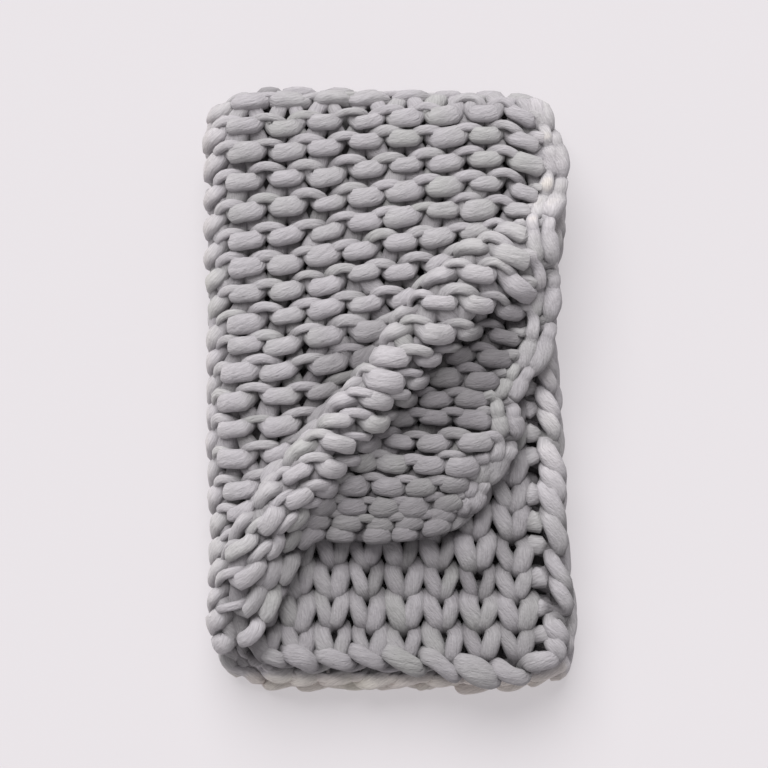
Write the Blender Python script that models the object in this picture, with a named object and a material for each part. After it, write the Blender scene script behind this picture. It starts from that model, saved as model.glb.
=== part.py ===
"""Folded chunky knit blanket: one sheet, folded in half lengthways and then in half across.

Four layers lie on each other.  The fold of the first halving (fold A) is at the far +Y end, the fold
of the second halving (fold B) at the -X side; the other two sides show the sheet's free edges.  The
top layer is ruckled into a diagonal ridge and its free corner is drawn back, so that the layer under
it shows.  Millimetres in the tables, metres in the mesh.  Origin: bottom centre, +Z up.

A point of the sheet is (u, v): u runs -1..1 across it, 0 on fold B and positive on the top half;
v runs -1..1 along it, 0 on fold A and negative on the top and bottom layers.
"""
import math

import bmesh
import bpy
import numpy as np

MM = 0.001

# ---- the sheet and its folds (mm) ------------------------------------------------------------------
LAYER_PITCH = 26.5        # from one layer's middle to the next
SHEET_THICKNESS = 21.0    # knitted cloth, without the raised stitches
STITCHES = 19             # across the open sheet
ROWS_UPPER = 21           # rows from fold A to the free edge, on the top and bottom layers
ROWS_INNER = 22           # the same on the two layers between them
FOLD_A_Y = 295.0          # axis of the far fold
FOLD_B_X = -142.5         # axis of the side fold
LAP_WIDTH = 329.0         # flat width from fold B's axis to the free side edge
COURSE_SKEW = 24.0        # the free side's courses run this much further over fold A
SKEW_START = 0.1          # u from which they do
INNER_SHIFT = 0.07        # the inner layers' stitches crowd towards fold B by up to this share
COURSE_BLEND = 45.0       # run past fold A in which the top layer takes up its own courses
NEAR_BLEND = 0.16         # u within which the near edge passes from the lower to the upper layers'
CENTRE_SHIFT = (4.8, -1.6)  # brings the middle of the bounding box to the origin

BEND = LAYER_PITCH / 2.0  # radius of fold A, and of the inner one of fold B's two turns
QUARTER = BEND * math.pi / 2.0
FLOOR_GAP = BEND - SHEET_THICKNESS / 2.0   # taken off, so that the bottom layer lies on z = 0

STITCH_RELIEF = 6.4       # height of a raised stitch over its gap, half of it each way
RIM_SCALLOP = 3.5         # how far each edge stitch stands out past the gap beside it

# x of fold B's axis beside FOLD_B_X: (share of the way from fold A to the near edge, offset)
FOLD_B_SWAY = ((0.0, -2.5), (0.15, -3.5), (0.3, -2.5), (0.42, 1.0), (0.6, 2.5), (1.0, 2.5))
# Free edges of the four layers: (share from fold A, x of the side edge on layers 1, 2, 3, 4)
SIDE_EDGES = (
    (0.00, 187.0, 187.0, 187.0, 187.0),
    (0.12, 187.0, 187.0, 188.0, 188.0),
    (0.20, 188.0, 184.0, 185.0, 186.0),
    (0.32, 171.0, 168.0, 169.0, 170.0),
    (0.44, 173.0, 168.0, 170.0, 171.0),
    (0.54, 158.0, 171.0, 174.0, 176.0),
    (0.63, 129.0, 172.0, 175.0, 177.0),
    (0.74, 128.0, 175.0, 179.0, 181.0),
    (0.84, 109.0, 180.0, 184.0, 187.0),
    (1.00, 105.0, 189.0, 196.0, 197.0),
)
# y of the near free edge: top layer at the side fold, then layers 2, 3 and 4
NEAR_EDGES = {"layer_1": -280.0, "layer_2": -299.0, "layer_3": -309.0, "layer_4": -317.0}

# Courses of the top layer: (row from fold A, y at fold B, y at the free side, x and width of the bend)
COURSES = (
    (0.8, 295.0, 316.0, 0.0, 400.0),
    (2.6, 243.0, 270.0, 0.0, 400.0),
    (4.6, 181.0, 219.0, 0.0, 400.0),
    (6.6, 122.0, 170.0, -5.0, 380.0),
    (8.6, 66.0, 116.0, -15.0, 340.0),
    (10.6, 12.0, 58.0, -35.0, 260.0),
    (12.6, -44.0, 6.0, -68.0, 190.0),
    (14.6, -103.0, -37.0, -98.0, 140.0),
    (16.6, -156.0, -83.0, -118.0, 105.0),
    (18.6, -210.0, -125.0, -125.0, 90.0),
    (21.0, -280.0, -158.0, -108.0, 92.0),
)
COURSE_SAMPLES = (90, 161)   # rows and points of a row in the table that lays them

# The diagonal ridge: line from its upper end, and (run along it, sideways offset of the crest,
# height, bending radius of the cloth over the crest)
RIDGE_START = (164.0, 140.0)
RIDGE_HEADING = math.radians(229.0)
RIDGE = (
    (-60.0, 10.0, 10.0, 60.0),
    (0.0, -16.0, 22.0, 46.0),
    (65.0, -36.0, 32.0, 36.0),
    (130.0, -42.0, 37.0, 26.0),
    (190.0, -40.0, 39.0, 16.0),
    (255.0, -38.0, 40.0, 14.0),
    (320.0, -38.0, 38.0, 14.0),
    (390.0, -36.0, 34.0, 14.0),
    (450.0, -26.0, 27.0, 15.0),
    (505.0, -8.0, 16.0, 18.0),
    (560.0, 10.0, 0.0, 24.0),
)
RIDGE_FOOT = 20.0         # bending radius of the cloth at its feet
RIDGE_STEEPEST = math.radians(72.0)
RIDGE_LEAN = 0.2          # leans this share of its height to the upper left
RIDGE_REACH = 100.0       # the cloth either side is drawn in from up to this far
TINY = 1e-6               # keeps divisions off zero
# Low swells of the top layer: (x, y, height, radius along the ridge, radius across it)
SWELLS = (
    (-40.0, 75.0, 9.0, 170.0, 55.0),
    (72.0, -62.0, 11.0, 60.0, 42.0),
    (118.0, -35.0, 6.0, 60.0, 26.0),
)

# Rounding of the corners in plan: (x side, y side, radius, whose corner it is)
CORNER_PULL = 0.36        # 0 leaves the corners square, 0.5 makes them quarter circles
CORNERS = (
    (-1, 1, 52.0, "every layer"),
    (1, 1, 80.0, "every layer"),
    (-1, -1, 75.0, "every layer"),
    (1, -1, 80.0, "layers 2 to 4"),
    (1, -1, 130.0, "layer 1"),
)

# ---- raised stitches -------------------------------------------------------------------------------
# Heights over one stitch: rows run up the sheet, columns across it
PURL_STITCH = (
    (-0.6, 0.5, 1.0, 0.5),
    (-0.8, -1.0, -1.0, -0.9),
    (1.0, 0.8, -1.0, 0.7),
)
KNIT_STITCH = (
    (-0.4, -1.0, -0.4, -0.4),
    (0.8, -1.0, 0.8, 0.5),
    (1.0, -0.9, 1.0, 0.7),
)
KNIT_DROP = (0.0, -0.35, 0.0, 0.4)   # rows that each line runs ahead, which makes the chevrons
KNIT_DROP_TAPER = 3.0                # rows from the near edge in which it dies away
ACROSS = len(PURL_STITCH[0])   # mesh lines in one stitch, across the sheet
ALONG = len(PURL_STITCH)       # mesh lines in one row

# The stitches that show: the purl face beyond this u and before this v, and the knit face beyond
# any of these (u, v)
PURL_SHOWS = (-0.12, 0.04)
KNIT_SHOWS = ((0.16, 0.70), (0.62, 0.60), (0.76, 0.38))

# Share of the half thickness that is pressed out inside the folds, and more of it at their ends;
# the reaches are in u and v
PRESSED, PRESSED_AT_ENDS = 0.2, 0.3
PRESS_REACH_A, PRESS_REACH_B = 0.03, 0.05
END_REACH_A, END_REACH_NEAR, END_REACH_FAR = 0.15, 0.15, 0.12
# The same inside the ridge's crest, and the height of the cloth's middle from which it sets in
PRESSED_AT_CREST, CREST_HEIGHT, CREST_BLEND = 0.5, 105.0, 15.0

# ---- mesh lines ------------------------------------------------------------------------------------
RIM_LINE = 3.0            # a mesh line this far in from each free edge rounds it
FOLD_LINES_B = 6          # mesh lines each side of fold B that keep their full spacing
FOLD_LINES_A = 3          # the same at fold A
LINES_U = STITCHES * ACROSS
LINES_UPPER, LINES_INNER = ROWS_UPPER * ALONG, ROWS_INNER * ALONG
HALF_WIDTH = LAP_WIDTH + 1.5 * LAYER_PITCH * math.pi / 2.0
HALF_LENGTH = FOLD_A_Y - NEAR_EDGES["layer_1"] + QUARTER
MERGE_DISTANCE = 1e-6
# Spacing of the lines kept, (across, along): by face, then part of u, then part of v
LINE_STEPS = {
    "purl": {
        "top": {"upper": (1, 1), "fold": (1, 1), "inner": (8, 9)},
        "fold": {"upper": (1, 1), "fold": (1, 1), "inner": (1, 9)},
        "under": {"upper": (8, 9), "fold": (4, 1), "inner": (8, 9)},
    },
    "knit": {
        "top": {"upper": (2, 3), "fold": (4, 1), "inner": (4, 9)},
        "fold": {"upper": (2, 3), "fold": (1, 1), "inner": (1, 9)},
        "under": {"upper": (8, 9), "fold": (8, 1), "inner": (8, 9)},
    },
}
SCALLOP_STEP = (2, 1)     # keeps the scallops of the lower layers' near edges
FINE_HEIGHT = 115.0       # the underside keeps every mesh line where the cloth's middle is higher


def smoothstep(t):
    t = np.clip(t, 0.0, 1.0)
    return t * t * (3.0 - 2.0 * t)


def column(table, value_column, at):
    """Value of one column of a table at any key of its first column, eased between its rows."""
    keys = np.array([row[0] for row in table])
    values = np.array([row[value_column] for row in table])
    at = np.clip(at, keys[0], keys[-1])
    slopes = np.gradient(values, keys)
    i = np.clip(np.searchsorted(keys, at, side="right") - 1, 0, len(keys) - 2)
    step = keys[i + 1] - keys[i]
    t = (at - keys[i]) / step
    return ((2 * t**3 - 3 * t**2 + 1) * values[i] + (t**3 - 2 * t**2 + t) * step * slopes[i]
            + (-2 * t**3 + 3 * t**2) * values[i + 1] + (t**3 - t**2) * step * slopes[i + 1])


# ---- the top layer's own shape ---------------------------------------------------------------------
def fold_b_x(from_a):
    return FOLD_B_X + column(FOLD_B_SWAY, 1, from_a)


def course_y(row, x):
    """Y of a course of the top layer where it passes x."""
    left, right = column(COURSES, 1, row), column(COURSES, 2, row)
    middle, width = column(COURSES, 3, row), column(COURSES, 4, row)
    return left + (right - left) * smoothstep((x - middle) / width + 0.5)


def ridge_section(across, height, crest):
    """Section of the ridge: sideways place and height of cloth that lay flat at a distance across."""
    bends = crest + RIDGE_FOOT
    slope = np.arccos(np.maximum(1.0 - height / bends, math.cos(RIDGE_STEEPEST)))
    flank = (height - bends * (1.0 - np.cos(slope))) / np.maximum(np.sin(slope), TINY)
    over_crest, to_foot = crest * slope, crest * slope + flank
    half_width = bends * np.sin(slope) + flank * np.cos(slope)
    drawn_in = to_foot + RIDGE_FOOT * slope - half_width
    t = np.minimum(np.abs(across) / RIDGE_REACH, 1.0)
    length = np.abs(across) + drawn_in * (1.5 * t - 0.5 * t**3)
    # crest, flank, foot and the flat beyond, one after another
    turned = np.minimum(length, over_crest) / crest
    down = np.clip(length - over_crest, 0.0, flank)
    left = slope - np.clip((length - to_foot) / RIDGE_FOOT, 0.0, slope)
    flat = np.maximum(length - to_foot - RIDGE_FOOT * slope, 0.0)
    place = (crest * np.sin(turned) + down * np.cos(slope)
             + RIDGE_FOOT * (np.sin(slope) - np.sin(left)) + flat)
    rise = (height - crest * (1.0 - np.cos(turned)) - down * np.sin(slope)
            - RIDGE_FOOT * (np.cos(left) - np.cos(slope)))
    lean = RIDGE_LEAN * rise**2 / np.maximum(height, TINY)
    return np.sign(across) * place - lean, rise


def ruckle(x, y):
    """Where a point of the smooth top layer goes when the ridge and the swells are in it."""
    along = (math.cos(RIDGE_HEADING), math.sin(RIDGE_HEADING))
    dx, dy = x - RIDGE_START[0], y - RIDGE_START[1]
    run = dx * along[0] + dy * along[1]
    crest_at = column(RIDGE, 1, run)
    across = -dx * along[1] + dy * along[0]   # positive on the near right
    place, rise = ridge_section(across - crest_at, np.maximum(column(RIDGE, 2, run), 0.0),
                                column(RIDGE, 3, run))
    place = place + crest_at
    new_x = RIDGE_START[0] + run * along[0] - place * along[1]
    new_y = RIDGE_START[1] + run * along[1] + place * along[0]
    for cx, cy, high, long_radius, short_radius in SWELLS:
        ex, ey = new_x - cx, new_y - cy
        a = (ex * along[0] + ey * along[1]) / long_radius
        b = (-ex * along[1] + ey * along[0]) / short_radius
        rise = rise + high * np.exp(-(a * a + b * b))
    return new_x, new_y, rise


def lay_courses():
    """Table of x for the top layer: rows from fold A by equal lengths of cloth along each course."""
    rows = np.linspace(COURSES[0][0], ROWS_UPPER, COURSE_SAMPLES[0])
    share = np.linspace(0.0, 1.0, COURSE_SAMPLES[1])
    out = np.zeros((len(rows), len(share)))
    for i, row in enumerate(rows):
        start = fold_b_x(row / ROWS_UPPER)
        x = start + share * (column(SIDE_EDGES, 1, row / ROWS_UPPER) - start)
        place = ruckle(x, course_y(np.full_like(x, row), x))
        steps = np.sqrt(sum(np.diff(axis)**2 for axis in place))
        length = np.concatenate([[0.0], np.cumsum(steps)])
        out[i] = np.interp(share, length / length[-1], x)
    return rows, out


COURSE_ROWS, COURSE_X = lay_courses()


def course_x(row, share):
    """X of the top layer at a row and a share of the course's length."""
    last_row, last_share = COURSE_SAMPLES[0] - 1, COURSE_SAMPLES[1] - 1
    r = np.clip((row - COURSE_ROWS[0]) / (COURSE_ROWS[-1] - COURSE_ROWS[0]), 0.0, 1.0) * last_row
    s = np.clip(share, 0.0, 1.0) * last_share
    i, j = np.minimum(r.astype(int), last_row - 1), np.minimum(s.astype(int), last_share - 1)
    fr, fs = r - i, s - j
    return ((COURSE_X[i, j] * (1 - fs) + COURSE_X[i, j + 1] * fs) * (1 - fr)
            + (COURSE_X[i + 1, j] * (1 - fs) + COURSE_X[i + 1, j + 1] * fs) * fr)


# ---- the folded sheet ------------------------------------------------------------------------------
def near_edge_y(u, upper):
    """Y of the near free edge of the layer that (u, upper or inner) lies in."""
    top = smoothstep(0.5 + 0.5 * np.clip(u / NEAR_BLEND, -1.0, 1.0))
    end_upper = NEAR_EDGES["layer_1"] * top + NEAR_EDGES["layer_4"] * (1 - top)
    end_inner = NEAR_EDGES["layer_2"] * top + NEAR_EDGES["layer_3"] * (1 - top)
    return np.where(upper, end_upper, end_inner)


def side_edge_x(u, from_a, upper):
    """X of the free side edge of the layer that (u, upper or inner) lies in."""
    edge = [column(SIDE_EDGES, layer, from_a) for layer in (1, 2, 3, 4)]
    return np.where(u > 0.0, np.where(upper, edge[0], edge[1]), np.where(upper, edge[3], edge[2]))


def round_corners(u, upper, x, y, left_x, side_x, near_y):
    """Draw the plan's square corners in to round ones, each layer's own."""
    on_top = upper & (u > 0.0)
    chosen_by = {"every layer": np.ones_like(on_top), "layers 2 to 4": ~on_top, "layer 1": on_top}
    flap_y = COURSES[-1][2]
    for side, end, radius, whose in CORNERS:
        corner_x = left_x if side < 0 else side_x
        corner_y = FOLD_A_Y + BEND if end > 0 else (flap_y if whose == "layer 1" else near_y)
        a = 1.0 - np.clip((corner_x - x) * side / radius, 0.0, 1.0)
        b = 1.0 - np.clip((corner_y - y) * end / radius, 0.0, 1.0)
        pulled_x = x - side * radius * a * (1.0 - np.sqrt(1.0 - CORNER_PULL * b * b))
        pulled_y = y - end * radius * b * (1.0 - np.sqrt(1.0 - CORNER_PULL * a * a))
        x = np.where(chosen_by[whose], pulled_x, x)
        y = np.where(chosen_by[whose], pulled_y, y)
    return x, y


def surface(u, v):
    """Middle of the folded sheet at (u, v)."""
    u, v = np.asarray(u, float), np.asarray(v, float)
    upper, from_a, on_top = v < 0.0, np.abs(v), np.where(u > 0.0, 1.0, -1.0)
    outward = np.where(upper, 1.0, -1.0)
    # fold A: the section of the sheet halved lengthways
    near_y = near_edge_y(u, upper)
    skew = COURSE_SKEW * smoothstep((np.abs(u) - SKEW_START) / (1.0 - SKEW_START))
    run = from_a * (QUARTER + FOLD_A_Y - near_y) - outward * skew * (1.0 - from_a)
    angle = np.minimum(run / BEND, math.pi / 2.0)
    y = FOLD_A_Y + BEND * np.cos(angle) - np.maximum(run - QUARTER, 0.0)
    offset = outward * BEND * np.sin(angle)
    # fold B: the halved sheet swept round the side fold
    radius = LAYER_PITCH + offset
    arc = radius * math.pi / 2.0
    crowd = INNER_SHIFT * (0.5 - 0.5 * offset / BEND)
    reach = (np.abs(u) - crowd * np.sin(math.pi * np.abs(u)) / math.pi) * (arc + LAP_WIDTH)
    sweep = np.minimum(reach / radius, math.pi / 2.0)
    share = np.maximum(reach - arc, 0.0) / LAP_WIDTH
    side_x, axis_x = side_edge_x(u, from_a, upper), fold_b_x(from_a)
    x = axis_x - radius * np.cos(sweep) + share * (side_x - axis_x)
    z = 2.0 * LAYER_PITCH + on_top * radius * np.sin(sweep)
    # the top layer's courses and ridge
    row = from_a * ROWS_UPPER
    laid_x = np.where(share > 0.0, course_x(row, share), x)
    hold = smoothstep(0.5 + 0.5 * np.sin(sweep) * on_top)
    weight = np.where(upper, hold, 0.0) * smoothstep((run - QUARTER) / COURSE_BLEND)
    x = x + weight * (laid_x - x)
    y = y + weight * (course_y(row, laid_x) - y)
    ruckled_x, ruckled_y, rise = ruckle(x, y)
    x, y, z = x + weight * (ruckled_x - x), y + weight * (ruckled_y - y), z + weight * rise
    x, y = round_corners(u, upper, x, y, axis_x - radius, side_x, near_y)
    return np.stack([x + CENTRE_SHIFT[0], y + CENTRE_SHIFT[1], z - FLOOR_GAP], axis=-1)


def frame_at(u, v, step=2e-3):
    """Point of the middle surface and its unit normal, upward on the top layer."""
    du = surface(np.clip(u + step, -1, 1), v) - surface(np.clip(u - step, -1, 1), v)
    dv = surface(u, np.clip(v + step, -1, 1)) - surface(u, np.clip(v - step, -1, 1))
    normal = np.cross(du, dv)
    return surface(u, v), normal / np.linalg.norm(normal, axis=-1, keepdims=True)


# ---- mesh ------------------------------------------------------------------------------------------
def with_rims(values, rim):
    """Mesh lines with one more just inside each end."""
    return np.concatenate([values[:1], [values[0] + rim], values[1:-1], [values[-1] - rim], values[-1:]])


def mesh_lines():
    """Positions of the mesh lines across (u) and along (v), and each one's place in its stitch."""
    u = np.linspace(-1.0, 1.0, LINES_U + 1)
    v = np.concatenate([np.arange(-LINES_UPPER, 0) / LINES_UPPER, np.arange(LINES_INNER + 1) / LINES_INNER])
    place_u = np.arange(LINES_U + 1) % ACROSS
    place_v = np.concatenate([np.arange(LINES_UPPER), np.arange(LINES_INNER + 1)]) % ALONG
    return (with_rims(u, RIM_LINE / HALF_WIDTH), with_rims(v, RIM_LINE / HALF_LENGTH),
            with_rims(place_u, 0), with_rims(place_v, 0))


U_LINES, V_LINES, U_PLACE, V_PLACE = mesh_lines()
NU, NV = len(U_LINES) - 1, len(V_LINES) - 1
MIDDLE_U, MIDDLE_V = NU // 2, LINES_UPPER + 1
CELL_MIDDLES = np.meshgrid((U_LINES[:-1] + U_LINES[1:]) / 2.0, (V_LINES[:-1] + V_LINES[1:]) / 2.0,
                           indexing="ij")
CELL_HEIGHTS = surface(*CELL_MIDDLES)[..., 2]


def edge_round(u, v):
    """Share of the half thickness left near the free edges, which are half round."""
    half = SHEET_THICKNESS / 2.0
    gap = np.minimum((1.0 - np.abs(u)) * HALF_WIDTH, (1.0 - np.abs(v)) * HALF_LENGTH)
    return np.sqrt(np.maximum(1.0 - np.maximum(1.0 - gap / half, 0.0) ** 2, 0.0))


def squeeze(side, u, v, height):
    """Share of the half thickness left on the inside of the tight folds and of the ridge's crest."""
    if side == "knit":
        near, ends = np.exp(-(v / PRESS_REACH_A) ** 2), np.exp(-(u / END_REACH_A) ** 2)
        crest = smoothstep((height - CREST_HEIGHT) / CREST_BLEND)
    else:
        near = np.exp(-(u / PRESS_REACH_B) ** 2) * (v > 0.0)
        ends = smoothstep((v - 1.0) / END_REACH_NEAR + 1.0) + smoothstep(1.0 - v / END_REACH_FAR)
        crest = 0.0
    return (1.0 - near * (PRESSED + PRESSED_AT_ENDS * ends)) * (1.0 - PRESSED_AT_CREST * crest)


def stitches_show(side, u, v):
    """Where the stitches are raised: everywhere that shows from above or outside."""
    if side == "purl":
        return (u > PURL_SHOWS[0]) & (v < PURL_SHOWS[1])
    return np.any([(u > least_u) & (v > least_v) for least_u, least_v in KNIT_SHOWS], axis=0)


def rim_scallop(iu, iv, u, v, point):
    """How far the free edges stand out, a scallop to each edge stitch."""
    rows = np.where(v < 0.0, ROWS_UPPER, ROWS_INNER) * v
    stitches = (u + 1.0) * STITCHES / 2.0
    out = np.zeros_like(point)
    for on_rim, inner_u, inner_v, count in (
        ((iu == 0) | (iu == NU), 0.99, 1.0, rows),
        ((iv == 0) | (iv == NV), 1.0, 0.99, stitches),
    ):
        outward = point - surface(u * inner_u, v * inner_v)
        outward /= np.maximum(np.linalg.norm(outward, axis=-1, keepdims=True), TINY)
        wave = np.sin(math.pi * np.mod(count, 1.0)) - 0.5
        out += outward * (on_rim * wave * RIM_SCALLOP)[:, None]
    return out


def make_face(side, material):
    """One face of the sheet as a grid, moved on to the folded surface."""
    bpy.ops.mesh.primitive_grid_add(x_subdivisions=NU, y_subdivisions=NV, size=2.0)
    obj = bpy.context.active_object
    mesh = obj.data
    co = np.zeros(len(mesh.vertices) * 3)
    mesh.vertices.foreach_get("co", co)
    co = co.reshape(-1, 3)
    iu = np.rint((co[:, 0] + 1.0) / 2.0 * NU).astype(int)
    iv = np.rint((co[:, 1] + 1.0) / 2.0 * NV).astype(int)
    u, v = U_LINES[iu], V_LINES[iv]
    raised = stitches_show(side, u, v)
    if side == "knit":
        inside = raised & (iu > 2) & (iu < NU - 2)
        taper = np.clip((1.0 - v) * ROWS_INNER / KNIT_DROP_TAPER - 1.0 / KNIT_DROP_TAPER, 0.0, 1.0)
        v = v + inside * taper * np.array(KNIT_DROP)[U_PLACE[iu]] / ROWS_INNER
    point, normal = frame_at(u, v)
    stitch = np.array(PURL_STITCH if side == "purl" else KNIT_STITCH)[V_PLACE[iv], U_PLACE[iu]]
    rounded = edge_round(u, v)
    flat = rounded * squeeze(side, u, v, point[:, 2]) * SHEET_THICKNESS / 2.0
    lift = flat + (raised & (rounded == 1.0)) * stitch * STITCH_RELIEF / 2.0
    out = point + normal * (lift if side == "purl" else -lift)[:, None] + rim_scallop(iu, iv, u, v, point)
    mesh.vertices.foreach_set("co", (out * MM).ravel())
    mesh.materials.append(material)
    for name, values in (("line_u", iu), ("line_v", iv)):
        mesh.attributes.new(name, "INT", "POINT").data.foreach_set("value", values.astype(np.int32))
    flag = np.full(len(mesh.polygons), side == "knit", np.int32)
    mesh.attributes.new("knit_side", "INT", "FACE").data.foreach_set("value", flag)
    if side == "knit":
        mesh.flip_normals()
    return obj


def part_of(iu, iv):
    """Name of the part of the sheet a mesh cell lies in."""
    if abs(iu + 0.5 - MIDDLE_U) < FOLD_LINES_B:
        part_u = "fold"
    else:
        part_u = "top" if iu >= MIDDLE_U else "under"
    if abs(iv + 0.5 - MIDDLE_V) < FOLD_LINES_A:
        part_v = "fold"
    else:
        part_v = "upper" if iv < MIDDLE_V else "inner"
    return part_u, part_v


def cell_zone(side, iu, iv):
    """A cell's part of the sheet, whether its stitches are raised, and the line spacing there."""
    part_u, part_v = part_of(iu, iv)
    middle_u, middle_v = (U_LINES[iu] + U_LINES[iu + 1]) / 2.0, (V_LINES[iv] + V_LINES[iv + 1]) / 2.0
    raised = bool(stitches_show(side, middle_u, middle_v))
    detailed = side == "knit" and (raised or CELL_HEIGHTS[iu, iv] > FINE_HEIGHT)
    spacing = (1, 1) if detailed else LINE_STEPS[side][part_u][part_v]
    if part_u == "under" and (iv < 2 or iv >= NV - 2):
        spacing = SCALLOP_STEP
    return side, part_u, part_v, raised, spacing


def kept(index, middle, count, step):
    """Whether a mesh line stays: every step-th from the fold, and the lines of the two rims."""
    return index <= 2 or index >= count - 2 or (index - middle) % step == 0


def drop_spare_lines(bm):
    """Dissolve the mesh lines that the flat hidden parts don't need."""
    line_u, line_v = bm.verts.layers.int["line_u"], bm.verts.layers.int["line_v"]
    knit_side = bm.faces.layers.int["knit_side"]
    spare = []
    for edge in bm.edges:
        zones = set()
        for face in edge.link_faces:
            cell_u = min(corner[line_u] for corner in face.verts)
            cell_v = min(corner[line_v] for corner in face.verts)
            zones.add(cell_zone("knit" if face[knit_side] else "purl", cell_u, cell_v))
        if len(zones) != 1:
            continue
        step_u, step_v = zones.pop()[-1]
        a, b = edge.verts
        if a[line_u] == b[line_u]:
            stays = kept(a[line_u], MIDDLE_U, NU, step_u)
        else:
            stays = kept(a[line_v], MIDDLE_V, NV, step_v)
        if not stays:
            spare.append(edge)
    bmesh.ops.dissolve_edges(bm, edges=spare, use_verts=True, use_face_split=False)


def fabric_material():
    material = bpy.data.materials.new("grey_yarn")
    material.use_nodes = True
    shader = material.node_tree.nodes["Principled BSDF"]
    shader.inputs["Base Color"].default_value = (0.39, 0.38, 0.39, 1.0)
    shader.inputs["Roughness"].default_value = 0.95
    return material


def build():
    for obj in list(bpy.data.objects):
        bpy.data.objects.remove(obj, do_unlink=True)
    collection = bpy.data.collections.new("folded_blanket")
    bpy.context.scene.collection.children.link(collection)
    material = fabric_material()
    faces = [make_face("purl", material), make_face("knit", material)]
    bpy.ops.object.select_all(action="DESELECT")
    for obj in faces:
        obj.select_set(True)
    bpy.context.view_layer.objects.active = faces[0]
    bpy.ops.object.join()
    blanket = bpy.context.view_layer.objects.active
    blanket.name = blanket.data.name = "blanket"
    bm = bmesh.new()
    bm.from_mesh(blanket.data)
    bmesh.ops.remove_doubles(bm, verts=bm.verts, dist=MERGE_DISTANCE)
    drop_spare_lines(bm)
    for face in bm.faces:
        face.smooth = True
    bm.to_mesh(blanket.data)
    bm.free()
    for owner in list(blanket.users_collection):
        owner.objects.unlink(blanket)
    collection.objects.link(blanket)


build()
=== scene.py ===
"""Looks of the folded chunky knit blanket: the sheet's own yarn, knitted stitch by stitch.

The cloth is folded in quarters, so the top layer shows its purl face and the layer under it its knit
face. One strand of thick roving runs back and forth through its courses and follows the folded sheet.
Millimetres in the tables and paths, metres in the meshes, in the frame's own axes.
"""
import math

import bpy
import numpy as np
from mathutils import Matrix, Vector


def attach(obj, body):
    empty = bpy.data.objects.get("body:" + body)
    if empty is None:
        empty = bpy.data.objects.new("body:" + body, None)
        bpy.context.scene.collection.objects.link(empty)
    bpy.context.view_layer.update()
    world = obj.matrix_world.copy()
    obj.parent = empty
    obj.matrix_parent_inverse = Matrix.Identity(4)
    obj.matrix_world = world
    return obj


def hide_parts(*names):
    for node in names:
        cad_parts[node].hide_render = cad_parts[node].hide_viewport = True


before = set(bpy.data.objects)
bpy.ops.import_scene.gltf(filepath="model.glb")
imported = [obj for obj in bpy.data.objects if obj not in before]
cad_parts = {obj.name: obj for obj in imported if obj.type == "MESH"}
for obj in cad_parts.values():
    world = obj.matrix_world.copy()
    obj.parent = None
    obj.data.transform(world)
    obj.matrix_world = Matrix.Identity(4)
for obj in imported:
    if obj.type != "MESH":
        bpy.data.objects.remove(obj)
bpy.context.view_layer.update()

MM = 0.001

# ---- the sheet and its folds (mm) ------------------------------------------------------------------
LAYER_PITCH = 26.5        # from one layer's middle to the next
SHEET_THICKNESS = 21.0    # knitted cloth, without the raised stitches
STITCHES = 19             # across the open sheet
ROWS_UPPER = 21           # rows from fold A to the free edge, on the top and bottom layers
ROWS_INNER = 22           # the same on the two layers between them
FOLD_A_Y = 295.0          # axis of the far fold
FOLD_B_X = -142.5         # axis of the side fold
LAP_WIDTH = 329.0         # flat width from fold B's axis to the free side edge
COURSE_SKEW = 24.0        # the free side's courses run this much further over fold A
SKEW_START = 0.1          # u from which they do
INNER_SHIFT = 0.07        # the inner layers' stitches crowd towards fold B by up to this share
COURSE_BLEND = 45.0       # run past fold A in which the top layer takes up its own courses
NEAR_BLEND = 0.16         # u within which the near edge passes from the lower to the upper layers'
CENTRE_SHIFT = (4.8, -1.6)  # brings the middle of the bounding box to the origin

BEND = LAYER_PITCH / 2.0  # radius of fold A, and of the inner one of fold B's two turns
QUARTER = BEND * math.pi / 2.0
FLOOR_GAP = BEND - SHEET_THICKNESS / 2.0   # taken off, so that the bottom layer lies on z = 0

# x of fold B's axis beside FOLD_B_X: (share of the way from fold A to the near edge, offset)
FOLD_B_SWAY = ((0.0, -2.5), (0.15, -3.5), (0.3, -2.5), (0.42, 1.0), (0.6, 2.5), (1.0, 2.5))
# Free edges of the four layers: (share from fold A, x of the side edge on layers 1, 2, 3, 4)
SIDE_EDGES = (
    (0.00, 187.0, 187.0, 187.0, 187.0),
    (0.12, 187.0, 187.0, 188.0, 188.0),
    (0.20, 188.0, 184.0, 185.0, 186.0),
    (0.32, 171.0, 168.0, 169.0, 170.0),
    (0.44, 173.0, 168.0, 170.0, 171.0),
    (0.54, 158.0, 171.0, 174.0, 176.0),
    (0.63, 129.0, 172.0, 175.0, 177.0),
    (0.74, 128.0, 175.0, 179.0, 181.0),
    (0.84, 109.0, 180.0, 184.0, 187.0),
    (1.00, 105.0, 189.0, 196.0, 197.0),
)
# y of the near free edge: top layer at the side fold, then layers 2, 3 and 4
NEAR_EDGES = {"layer_1": -280.0, "layer_2": -299.0, "layer_3": -309.0, "layer_4": -317.0}
# Half the sheet's width and length laid flat
HALF_WIDTH = LAP_WIDTH + (LAYER_PITCH + BEND) * math.pi / 2.0   # by fold B's outer turn
HALF_LENGTH = FOLD_A_Y - NEAR_EDGES["layer_1"] + QUARTER

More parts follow.
